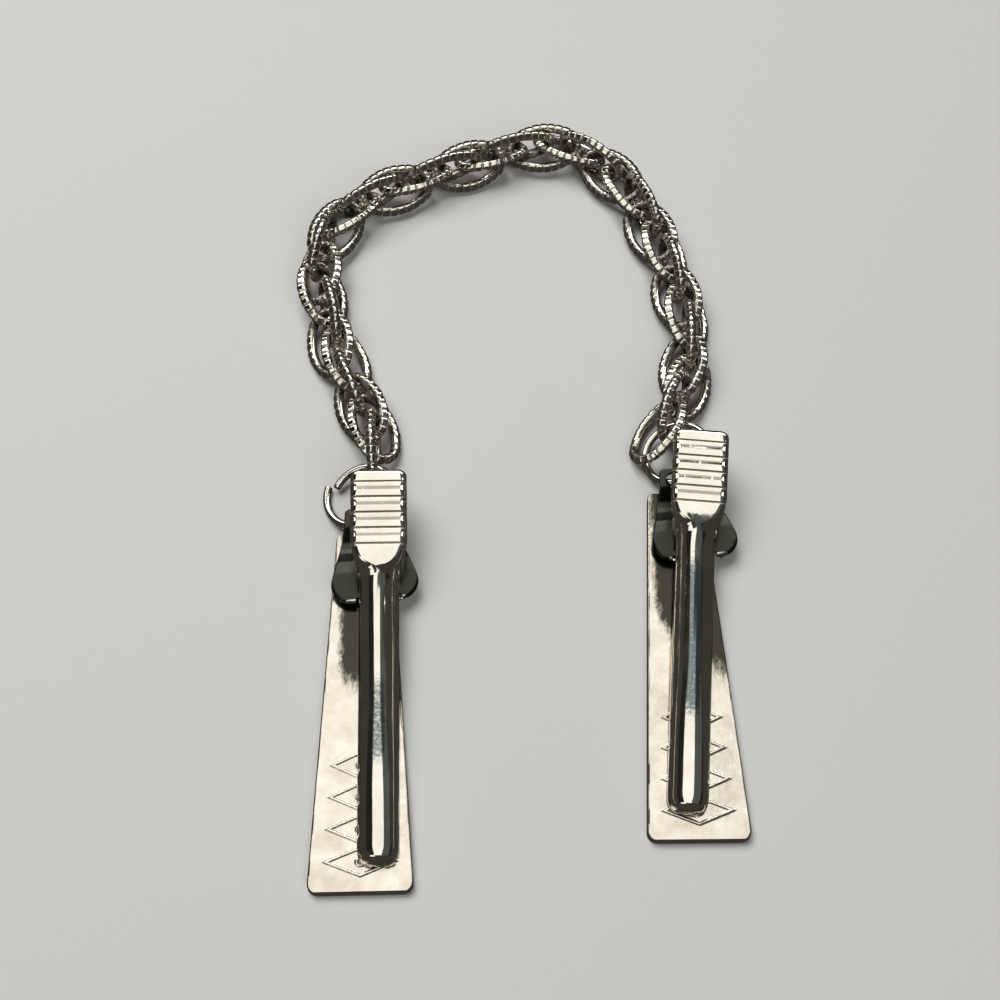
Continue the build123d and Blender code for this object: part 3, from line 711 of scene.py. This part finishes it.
def earSurface(sign):
    # ear plate: half disc over the pin on a straight foot, rings of one outline from face to face
    angles = np.linspace(0, math.pi, 25)
    foot = np.linspace(*ear["foot"], 6)
    side = np.full(len(foot), ear["radius"])
    outline = np.concatenate([
        np.stack([ear["radius"] * np.cos(angles), ear["radius"] * np.sin(angles)], axis=1),
        np.stack([-side, -foot], axis=1), np.stack([side, -foot[::-1]], axis=1)])
    middle = np.array([0, -ear["foot"][0]])
    inset = 1 - ear["rimRound"] / ear["radius"]
    rim = 0.5 - ear["rimRound"] / ear["thickness"]
    sizes = (0.0, inset, 1.0, 1.0, inset, 0.0)
    depths = (-0.5, -0.5, -rim, rim, 0.5, 0.5)
    rings = []
    for size, depth in zip(sizes, depths):
        flat = middle + (outline - middle) * size
        x = np.full(len(flat), sign * ear["offset"] + depth * ear["thickness"])
        rings.append(np.stack([x, flat[:, 0], pivotHeight + flat[:, 1]], axis=1))
    return np.concatenate(rings), gridQuads(len(sizes), len(outline), wrapColumns=True)


for side, clip in clipSettings.items():
    points, keep = leafSurface(clip)
    sheet, quads = thicken(points, keep, leaf["thickness"])
    across, along = np.abs(points[..., 0]), points[..., 1]
    solder = np.exp(-np.abs(along - leaf["solderAlong"]) / leaf["solderReach"]).ravel()
    # painted highlight: the inner front corners are left out of the darkening, where the highlight falls
    highlightSpot = (1 - smoothStep(*leaf["highlightAlong"], along)) * (1 - smoothStep(*leaf["highlightAcross"], across))
    values = np.stack([np.concatenate([solder, solder * 0 + leaf["underGrime"]]),
                       leaf["darkness"] * (1 - np.tile(highlightSpot.ravel(), 2))], axis=-1)
    sheet, quads, values = dropLoose(sheet, quads, values)
    sheet = turned(sheet, clip["leafTurn"]) + np.array([clip["leafAcross"], 0.0, 0.0])
    whole, faces, grime = [sheet], [quads], [values]
    for sign in (-1, 1):
        earPoints, earQuads = earSurface(sign)
        faces.append(earQuads + sum(len(part) for part in whole))
        whole.append(turned(earPoints, clip["leverTurn"]))
        grime.append(np.tile((ear["grime"], leaf["darkness"]), (len(earPoints), 1)))
    points = fromPivot(np.concatenate(whole), side)
    hollow, wearAndShade = np.concatenate(grime).T
    piece = buildMesh(side + "LeafBracketStrip", points, np.concatenate(faces),
                      {"hollow": hollow, "wearAndShade": wearAndShade, "scuff": np.clip(wearAndShade, 0, 1)})
    finishPiece(piece, "base", side + "_leaf_bracket", leafMetal, 0)
    edge = piece.modifiers.new("edges", "BEVEL")
    edge.width = leaf["bevel"] * mm
    edge.segments = 2
    edge.limit_method = "ANGLE"
    edge.angle_limit = math.radians(40)
print("leaves made")


# Tubes and turned shapes

def sweep(centres, outward, sideways, radii, angles, closed=False):
    # rings of points round a path; outward and sideways span each ring's plane
    radii = np.asarray(radii)
    if radii.ndim == 1:
        radii = radii[:, None] + 0 * angles[None, :]
    rings = (centres[:, None] + outward[:, None] * (radii * np.cos(angles))[..., None]
             + sideways[:, None] * (radii * np.sin(angles))[..., None])
    quads = gridQuads(len(centres), len(angles), wrapRows=closed, wrapColumns=True)
    return rings.reshape(-1, 3), quads


def evenAngles(sides):
    return np.linspace(0, 2 * math.pi, sides, endpoint=False)


pin = {"radius": 0.4, "headRadius": 0.62, "headRise": 0.1, "headWall": 0.04, "sides": 40}
for side, clip in clipSettings.items():
    # turned profile: domed rivet heads proud of the lever's sides, and the shank between them
    dome = np.linspace(0, 1, 8)
    profile = [(lever["armHalf"] + pin["headRise"] * math.sqrt(1 - d * d), pin["headRadius"] * d)
               for d in dome]
    profile += [(lever["armHalf"] - pin["headWall"], pin["headRadius"]),
                (lever["armHalf"] - pin["headWall"] - 0.01, pin["radius"])]
    profile = np.array([(-x, r) for x, r in profile] + profile[::-1])
    centres = np.stack([profile[:, 0], 0 * profile[:, 0], pivotHeight + 0 * profile[:, 0]], axis=1)
    across = np.tile((0.0, 1.0, 0.0), (len(profile), 1))
    upward = np.tile((0.0, 0.0, 1.0), (len(profile), 1))
    points, quads = sweep(centres, across, upward, profile[:, 1], evenAngles(pin["sides"]))
    points = fromPivot(turned(points, clip["leverTurn"]), side)
    piece = buildMesh(side + "PinTurned", points, quads, {"hollow": np.full(len(points), 0.2)})
    finishPiece(piece, "base", side + "_hinge_pin", wireMetal, 40)
print("pins made")

jumpRing = {
    "wire": 0.8, "lift": 0.06, "tabHeight": 2.25, "sides": 28, "rings": 150,
    "cutInset": 0.048, "cutRim": 0.035, "cutLength": 0.03,
}
for side, clip in clipSettings.items():
    # two arcs that meet in line: round the inner radius, then round the opened one
    start, join, end = clip["ringAngles"]
    shift = clip["ringRadius"] - clip["ringOpenRadius"]
    lengths = [clip["ringRadius"] * (start - join), clip["ringOpenRadius"] * (join - end)]
    way = np.linspace(0, sum(lengths), jumpRing["rings"])
    firstArc = way < lengths[0]
    angle = np.where(firstArc, start - way / clip["ringRadius"],
                     join - (way - lengths[0]) / clip["ringOpenRadius"])
    angle = np.radians(angle)
    radius = np.where(firstArc, clip["ringRadius"], clip["ringOpenRadius"])
    centreShift = np.where(firstArc, 0, shift)
    joinAngle = math.radians(join)
    flat = np.stack([centreShift * math.cos(joinAngle) + radius * np.cos(angle),
                     centreShift * math.sin(joinAngle) + radius * np.sin(angle)], axis=1)
    leanX, leanY = clip["ringLeanX"], clip["ringLeanY"]
    axisX = np.array([1, 0, leanX]) / math.hypot(1, leanX)
    axisZ = np.array([-leanX, -leanY, 1])
    axisZ = axisZ / np.linalg.norm(axisZ)
    axisY = np.cross(axisZ, axisX)
    leafAngle = math.radians(clip["leafTurn"])
    eyeX = clip["pivotAcross"] + clip["leafAcross"] - leaf["eyeAlong"] * math.sin(leafAngle)
    eyeY = pivotAlong + leaf["eyeAlong"] * math.cos(leafAngle)
    height = jumpRing["tabHeight"] + jumpRing["lift"] + leanX * (clip["ringAcross"] - eyeX)
    height += leanY * (clip["ringAlong"] - eyeY)
    centre = np.array([clip["ringAcross"], clip["ringAlong"], height])
    path = centre + flat[:, :1] * axisX + flat[:, 1:] * axisY
    outward = np.cos(angle)[:, None] * axisX + np.sin(angle)[:, None] * axisY
    tangent = np.stack([path[1] - path[0], path[-1] - path[-2]])
    tangent /= np.linalg.norm(tangent, axis=1, keepdims=True)
    radii = np.full(len(path), jumpRing["wire"] / 2)
    # the cut ends close to a point, over a small rounded rim
    cut = np.array([0.0, 0.0, jumpRing["cutLength"]])[:, None]
    edgeIn = path[[0, 0, 0]] + tangent[0] * cut
    edgeOut = path[[-1, -1, -1]] - tangent[1] * cut[::-1]
    small = jumpRing["wire"] / 2 - jumpRing["cutInset"]
    rim = small + jumpRing["cutRim"]
    path = np.concatenate([edgeIn, path[1:-1], edgeOut])
    outward = np.concatenate([outward[[0, 0, 0]], outward[1:-1], outward[[-1, -1, -1]]])
    radii = np.concatenate([[0, small, rim], radii[1:-1], [rim, small, 0]])
    sideways = np.tile(axisZ, (len(path), 1))
    points, quads = sweep(path, outward, sideways, radii, evenAngles(jumpRing["sides"]))
    clean = np.zeros(len(points))
    piece = buildMesh(side + "JumpRingWire", toClip(points, side), quads, {"hollow": clean})
    finishPiece(piece, "base", side + "_jump_ring", wireMetal, 40)
print("jump rings made")


# Chain: oval links of notched wire, each where its CAD link lies

link = {
    "length": 8.98, "width": 5.78, "wire": 1.11, "endRadius": 1.8,
    "notchPitch": 0.88, "notchDepth": 0.12, "notchWidth": 0.07, "pillow": 0.025, "facetTilt": 0.035,
    "rowsPerNotch": 11, "flatAt": 45, "flatHalf": 30,
    "angles": (0, 15, 27, 63, 75, 95, 120, 150, 180, 210, 240, 265, 285, 297, 333, 345),
}


def linkCentreLine(count):
    # four arcs that meet in line, two flat sides and two tighter ends, at equal steps
    halfLong = (link["length"] - link["wire"]) / 2
    halfWide = (link["width"] - link["wire"]) / 2
    endRadius = link["endRadius"]
    endCentre = halfLong - endRadius
    sideRadius = (endCentre ** 2 + halfWide ** 2 - endRadius ** 2) / (2 * (halfWide - endRadius))
    sideCentre = sideRadius - halfWide
    spread = math.atan2(sideCentre, endCentre)
    arcs = [((endCentre, 0), endRadius, -spread, spread),
            ((0, -sideCentre), sideRadius, spread, math.pi - spread),
            ((-endCentre, 0), endRadius, math.pi - spread, math.pi + spread),
            ((0, sideCentre), sideRadius, math.pi + spread, 2 * math.pi - spread)]
    # a side arc's centre lies beyond the link's other side
    lengths = [radius * (last - first) for _, radius, first, last in arcs]
    way = np.linspace(0, sum(lengths), count, endpoint=False)
    starts = np.concatenate([[0], np.cumsum(lengths)])
    which = np.searchsorted(starts, way, side="right") - 1
    centre, radius, first = (np.array([arc[k] for arc in arcs])[which] for k in range(3))
    angle = first + (way - starts[which]) / radius
    outward = np.stack([np.cos(angle), np.sin(angle), 0 * angle], axis=1)
    points = np.concatenate([centre, np.zeros((count, 1))], axis=1) + outward * radius[:, None]
    return points, outward, way, sum(lengths)


def linkSurface(seed):
    # wire whose radius dips at each notch on its outer half, with pillowed stretches between
    _, _, _, whole = linkCentreLine(8)
    notches = round(whole / link["notchPitch"])
    count = notches * link["rowsPerNotch"]
    path, outward, way, whole = linkCentreLine(count)
    random = np.random.default_rng(seed)
    phase = random.uniform(0, 1)
    place = way / whole * notches + phase
    away = np.abs(place - np.round(place)) * whole / notches
    angles = np.radians(link["angles"])
    # two flats on the outer side, each a chord of the wire's circle
    toFlat = np.abs(np.minimum(angles, 2 * math.pi - angles) - math.radians(link["flatAt"]))
    flatHalf = math.radians(link["flatHalf"])
    section = np.where(toFlat < flatHalf, math.cos(flatHalf) / np.cos(np.minimum(toFlat, flatHalf)), 1.0)
    facing = smoothStep(-0.45, 0.25, np.cos(angles))[None, :]
    line = np.exp(-(away / link["notchWidth"]) ** 2)
    belly = (away / (whole / notches / 2)) ** 0.5 - 1
    local = (place - np.floor(place)) - 0.5
    tilts = random.uniform(-link["facetTilt"], link["facetTilt"], notches + 2)
    tilt = tilts[np.floor(place).astype(int)]
    depth = link["notchDepth"] * line - link["pillow"] * belly + np.abs(tilt) + tilt * 2 * local
    radii = link["wire"] / 2 * section[None, :] - facing * depth[:, None]
    sideways = np.tile((0.0, 0.0, 1.0), (count, 1))
    points, quads = sweep(path, outward, sideways, radii, angles, closed=True)
    # grime in the notches, and a darker colour inside the ends where the next links rub
    atEnd = smoothStep(0.35, 0.75, np.abs(path[:, :1]) / path[:, 0].max())
    return points, quads, np.maximum(facing * line[:, None], (1 - facing) * atEnd).ravel()


for name in sorted(frame["nodes"]):
    if not name.startswith("chain_link_"):
        continue
    solid = bpy.data.objects[name]
    spots = np.empty(len(solid.data.vertices) * 3)
    solid.data.vertices.foreach_get("co", spots)
    spots = spots.reshape(-1, 3) / mm
    middle = (spots.min(axis=0) + spots.max(axis=0)) / 2
    # the link's own axes, longest first, and the middle of its box along them
    _, axes = np.linalg.eigh(np.cov((spots - middle).T))
    turn = axes[:, ::-1]
    turn[:, 2] = np.cross(turn[:, 0], turn[:, 1])
    own = (spots - middle) @ turn
    middle = middle + turn @ (own.min(axis=0) + own.max(axis=0)) / 2
    points, quads, hollow = linkSurface(int(name[-2:]))
    piece = buildMesh("wireLink" + name[-2:], points @ turn.T + middle, quads, {"hollow": hollow})
    finishPiece(piece, "base", name, chainMetal, 0)
print("chain made")


# Floor, light and camera

# Cards are seen by the metal alone and the sky light by the paper alone, so each is set by itself.
# A card lies level over the clips: its lowest and highest x and y in mm from the aim.
studio = {
    "floorColour": (0.66, 0.65, 0.63), "floorDrop": 0.05, "floorSize": 1.6,
    "worldColour": (0.044, 0.042, 0.036),
    "cardHeight": 500.0,
    "cards": {
        "keyCard": {"x": (-240, 140), "y": (-180, 312), "glow": 1.06, "colour": (1.0, 0.985, 0.94)},
        "keyEdgeCard": {"x": (-240, 140), "y": (312, 372), "glow": 0.5, "colour": (1.0, 0.98, 0.88)},
        "leftCard": {"x": (-600, -200), "y": (-560, -110), "glow": 1.0, "colour": (1.0, 0.985, 0.95)},
        "backCard": {"x": (-750, 750), "y": (392, 720), "glow": 4.2, "colour": (1.0, 0.985, 0.95)},
        "sideCard": {"x": (141, 900), "y": (-200, 290), "glow": 0.055, "colour": (0.62, 0.85, 0.9)},
    },
    # dark flags beside the cards draw the dark lines next to the highlights
    "flags": {
        "leftFlag": {"x": (-900, -300), "y": (-55, 380)},
        "rightFlag": {"x": (950, 2200), "y": (-300, 380)},
    },
    "flagGlow": (0.016, 0.015, 0.012), "flagGap": 2.0,
    "softSize": (0.5, 0.5),
    "softLights": {
        "skyLight": {"away": 0.7, "power": 4.4, "tilt": (-0.35, 0.35, 1.0)},
        "fillLight": {"away": 0.9, "power": 2.0, "tilt": (0.5, -0.8, 1.0)},
    },
}
view = {
    "aimFromLeftHinge": (11.7689, 10.8803, -3.2), "away": 178.3022,
    "downAngle": 1.0676609, "roll": 0.0443316, "lens": 61.2, "sensor": 36.0, "nearest": 0.005,
}

floorMesh = bpy.data.meshes.new("floorPaper")
reach = studio["floorSize"] / 2
drop = -studio["floorDrop"] * mm
corners = [(-reach, -reach, drop), (reach, -reach, drop), (reach, reach, drop), (-reach, reach, drop)]
floorMesh.from_pydata(corners, [], [(0, 1, 2, 3)])
floor = linked("floorPaper", floorMesh)
paper, paperShader = newMaterial("palePaper")
paperShader.inputs["Base Color"].default_value = (*studio["floorColour"], 1)
paperShader.inputs["Roughness"].default_value = 0.9
floorMesh.materials.append(paper)

world = bpy.data.worlds.new("studioDark")
world.use_nodes = True
world.node_tree.nodes["Background"].inputs["Color"].default_value = (*studio["worldColour"], 1)
bpy.context.scene.world = world


def softBox(name, place, direction, size, power, colour=(1, 1, 1)):
    # area light at a place, facing against a direction
    lamp = bpy.data.lights.new(name, "AREA")
    lamp.shape = "RECTANGLE"
    lamp.size, lamp.size_y = size
    lamp.energy = power
    lamp.color = colour
    holder = linked(name, lamp)
    holder.location = place
    holder.rotation_euler = Vector(direction).to_track_quat("Z", "Y").to_euler()
    return holder


aim = Vector(joints["left_lever_hinge"]["pos_m"]) + Vector(view["aimFromLeftHinge"]) * mm
for name, card in studio["cards"].items():
    middle = [sum(card[axis]) / 2 for axis in "xy"]
    size = [(card[axis][1] - card[axis][0]) * mm for axis in "xy"]
    place = aim + Vector((*middle, studio["cardHeight"])) * mm
    power = card["glow"] * size[0] * size[1] * math.pi
    holder = softBox(name, place, (0, 0, 1), size, power, card["colour"])
    holder.visible_diffuse = False
flagPaint, flagShader = newMaterial("blackFlag")
flagShader.inputs["Base Color"].default_value = (0.0, 0.0, 0.0, 1)
flagShader.inputs["Specular IOR Level"].default_value = 0.0
flagShader.inputs["Emission Color"].default_value = (*studio["flagGlow"], 1)
flagShader.inputs["Emission Strength"].default_value = 1.0
for name, flag in studio["flags"].items():
    (leftX, rightX), (frontY, backY) = flag["x"], flag["y"]
    level = aim.z + (studio["cardHeight"] - studio["flagGap"]) * mm
    corners = [(aim.x + x * mm, aim.y + y * mm, level)
               for x, y in ((leftX, frontY), (rightX, frontY), (rightX, backY), (leftX, backY))]
    flagMesh = bpy.data.meshes.new(name)
    flagMesh.from_pydata(corners, [], [(0, 1, 2, 3)])
    flagMesh.materials.append(flagPaint)
    holder = linked(name, flagMesh)
    holder.visible_diffuse = False
    holder.visible_shadow = False
for name, light in studio["softLights"].items():
    direction = Vector(light["tilt"]).normalized()
    place = aim + direction * light["away"]
    holder = softBox(name, place, direction, studio["softSize"], light["power"])
    holder.visible_glossy = False
floor.visible_glossy = False
bpy.context.scene.view_settings.view_transform = "Standard"

down, roll = view["downAngle"], view["roll"]
forward = Vector((0, math.cos(down), -math.sin(down)))
right = Vector((1, 0, 0))
upward = Vector((0, math.sin(down), math.cos(down)))
rolledRight = right * math.cos(roll) + upward * math.sin(roll)
rolledUp = upward * math.cos(roll) - right * math.sin(roll)
cameraData = bpy.data.cameras.new("photoView")
cameraData.lens = view["lens"]
cameraData.sensor_width = view["sensor"]
cameraData.sensor_fit = "HORIZONTAL"
cameraData.clip_start = view["nearest"]
camera = linked("photoView", cameraData)
turn = Matrix((rolledRight, rolledUp, -forward)).transposed()
camera.matrix_world = Matrix.Translation(aim - forward * view["away"] * mm) @ turn.to_4x4()
bpy.context.scene.camera = camera
print("studio made")
